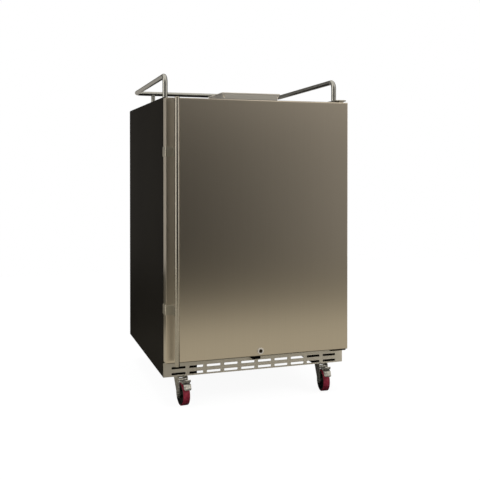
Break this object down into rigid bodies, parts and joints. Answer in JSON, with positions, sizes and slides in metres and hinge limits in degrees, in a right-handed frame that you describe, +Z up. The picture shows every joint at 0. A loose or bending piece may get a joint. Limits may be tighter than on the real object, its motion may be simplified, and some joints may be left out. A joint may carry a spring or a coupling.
{
  "type": "kegerator",
  "caption": "Insulated keg cooler cabinet with a side-hinged steel door and full-length handle, guard rail and drip tray on top, on swivel casters.",
  "frame": {"origin": "on the floor under the middle of the bounding box", "axes": "+X to the right as seen from the door, +Y from the door to the back, +Z up"},
  "size_m": [0.6038, 0.697, 1.0258],
  "materials": {
    "black_paint": "satin powder coat",
    "brushed_steel": "upright brushed grain",
    "polished_steel": "polished",
    "zinc_steel": "dull zinc plating",
    "galvanised": "spangled zinc sheet",
    "white_plastic": "vacuum-formed, satin",
    "grey_plastic": "fine texture",
    "black_plastic": "fine texture",
    "foam": "cut rigid foam",
    "gasket_rubber": "smooth soft rubber",
    "black_rubber": "smooth soft rubber",
    "red_tread": "smooth hard tread",
    "clear_lens": "frosted lens"
  },
  "bodies": {
    "cabinet": {"side_panel_left": "black_paint", "side_panel_right": "black_paint", "top_panel": "black_paint", "back_panel": "galvanised", "bottom_panel": "black_paint", "foam_core": "foam", "inner_liner": "white_plastic", "front_bracket_left": "black_paint", "front_bracket_right": "black_paint", "compressor_base": "black_paint", "kick_grille": "brushed_steel", "hinge_bracket_top": "brushed_steel", "hinge_bracket_bottom": "black_paint", "lock_strike": "black_paint", "guard_rail": "polished_steel", "keg_floor_plate": "galvanised", "fan_cover": "white_plastic", "thermostat_housing": "white_plastic", "lamp_lens": "clear_lens", "compressor": "black_paint", "drain_pan": "grey_plastic", "condenser": "black_paint", "refrigerant_line": "zinc_steel", "cord_gland": "black_rubber", "caster_plate_front_left": "zinc_steel", "caster_plate_front_right": "zinc_steel", "caster_plate_rear_left": "zinc_steel", "caster_plate_rear_right": "zinc_steel"},
    "door": {"door_skin": "brushed_steel", "door_core": "foam", "door_liner": "white_plastic", "door_gasket": "gasket_rubber", "handle_tube": "polished_steel", "handle_bracket_upper": "brushed_steel", "handle_bracket_lower": "brushed_steel", "lock_barrel": "zinc_steel"},
    "lock": {"lock_plug": "zinc_steel"},
    "knob": {"thermostat_knob": "grey_plastic"},
    "fan": {"evaporator_fan": "black_plastic"},
    "plug": {"tower_hole_plug": "black_plastic"},
    "tray": {"drip_tray": "brushed_steel"},
    "grid": {"drip_grid": "brushed_steel"},
    "swivel_front_left": {"caster_fork_front_left": "zinc_steel", "caster_axle_front_left": "zinc_steel"},
    "wheel_front_left": {"caster_core_front_left": "black_plastic", "caster_tread_front_left": "red_tread"},
    "pedal_front_left": {"brake_pedal_front_left": "zinc_steel"},
    "swivel_front_right": {"caster_fork_front_right": "zinc_steel", "caster_axle_front_right": "zinc_steel"},
    "wheel_front_right": {"caster_core_front_right": "black_plastic", "caster_tread_front_right": "red_tread"},
    "pedal_front_right": {"brake_pedal_front_right": "zinc_steel"},
    "swivel_rear_left": {"caster_fork_rear_left": "zinc_steel", "caster_axle_rear_left": "zinc_steel"},
    "wheel_rear_left": {"caster_core_rear_left": "black_plastic", "caster_tread_rear_left": "red_tread"},
    "swivel_rear_right": {"caster_fork_rear_right": "zinc_steel", "caster_axle_rear_right": "zinc_steel"},
    "wheel_rear_right": {"caster_core_rear_right": "black_plastic", "caster_tread_rear_right": "red_tread"}
  },
  "joints": [
    {"name": "door_hinge", "type": "hinge", "parent": "cabinet", "child": "door", "pos_m": [0.285, -0.28155, 0.543], "axis": [0, 0, 1], "range_deg": [0, 110]},
    {"name": "lock_turn", "type": "hinge", "parent": "door", "child": "lock", "pos_m": [0, -0.3015, 0.1604], "axis": [0, 1, 0], "range_deg": [0, 90]},
    {"name": "knob_turn", "type": "hinge", "parent": "cabinet", "child": "knob", "pos_m": [-0.1624, 0.1415, 0.8807], "axis": [0, 1, 0], "range_deg": [0, 300]},
    {"name": "fan_spin", "type": "hinge", "parent": "cabinet", "child": "fan", "pos_m": [0, 0.2508, 0.748], "axis": [0, 1, 0], "continuous": true},
    {"name": "plug_lift", "type": "slide", "parent": "cabinet", "child": "plug", "axis": [0, 0, 1], "range_m": [0, 0.06]},
    {"name": "tray_lift", "type": "slide", "parent": "cabinet", "child": "tray", "axis": [0, 0, 1], "range_m": [0, 0.12]},
    {"name": "grid_lift", "type": "slide", "parent": "tray", "child": "grid", "axis": [0, 0, 1], "range_m": [0, 0.05]},
    {"name": "swivel_front_left", "type": "hinge", "parent": "cabinet", "child": "swivel_front_left", "pos_m": [-0.239, -0.2235, 0.085], "axis": [0, 0, 1], "continuous": true},
    {"name": "roll_front_left", "type": "hinge", "parent": "swivel_front_left", "child": "wheel_front_left", "pos_m": [-0.23597, -0.25234, 0.035], "axis": [0.9945, 0.1045, 0], "continuous": true},
    {"name": "pedal_front_left", "type": "hinge", "parent": "swivel_front_left", "child": "pedal_front_left", "pos_m": [-0.23649, -0.24737, 0.078], "axis": [0.9945, 0.1045, 0], "range_deg": [0, 14]},
    {"name": "swivel_front_right", "type": "hinge", "parent": "cabinet", "child": "swivel_front_right", "pos_m": [0.239, -0.2235, 0.085], "axis": [0, 0, 1], "continuous": true},
    {"name": "roll_front_right", "type": "hinge", "parent": "swivel_front_right", "child": "wheel_front_right", "pos_m": [0.23647, -0.25239, 0.035], "axis": [0.9962, -0.0872, 0], "continuous": true},
    {"name": "pedal_front_right", "type": "hinge", "parent": "swivel_front_right", "child": "pedal_front_right", "pos_m": [0.23691, -0.24741, 0.078], "axis": [0.9962, -0.0872, 0], "range_deg": [0, 14]},
    {"name": "swivel_rear_left", "type": "hinge", "parent": "cabinet", "child": "swivel_rear_left", "pos_m": [-0.21, 0.2855, 0.085], "axis": [0, 0, 1], "continuous": true},
    {"name": "roll_rear_left", "type": "hinge", "parent": "swivel_rear_left", "child": "wheel_rear_left", "pos_m": [-0.21, 0.2565, 0.035], "axis": [1, 0, 0], "continuous": true},
    {"name": "swivel_rear_right", "type": "hinge", "parent": "cabinet", "child": "swivel_rear_right", "pos_m": [0.21, 0.2855, 0.085], "axis": [0, 0, 1], "continuous": true},
    {"name": "roll_rear_right", "type": "hinge", "parent": "swivel_rear_right", "child": "wheel_rear_right", "pos_m": [0.21, 0.2565, 0.035], "axis": [1, 0, 0], "continuous": true}
  ]
}
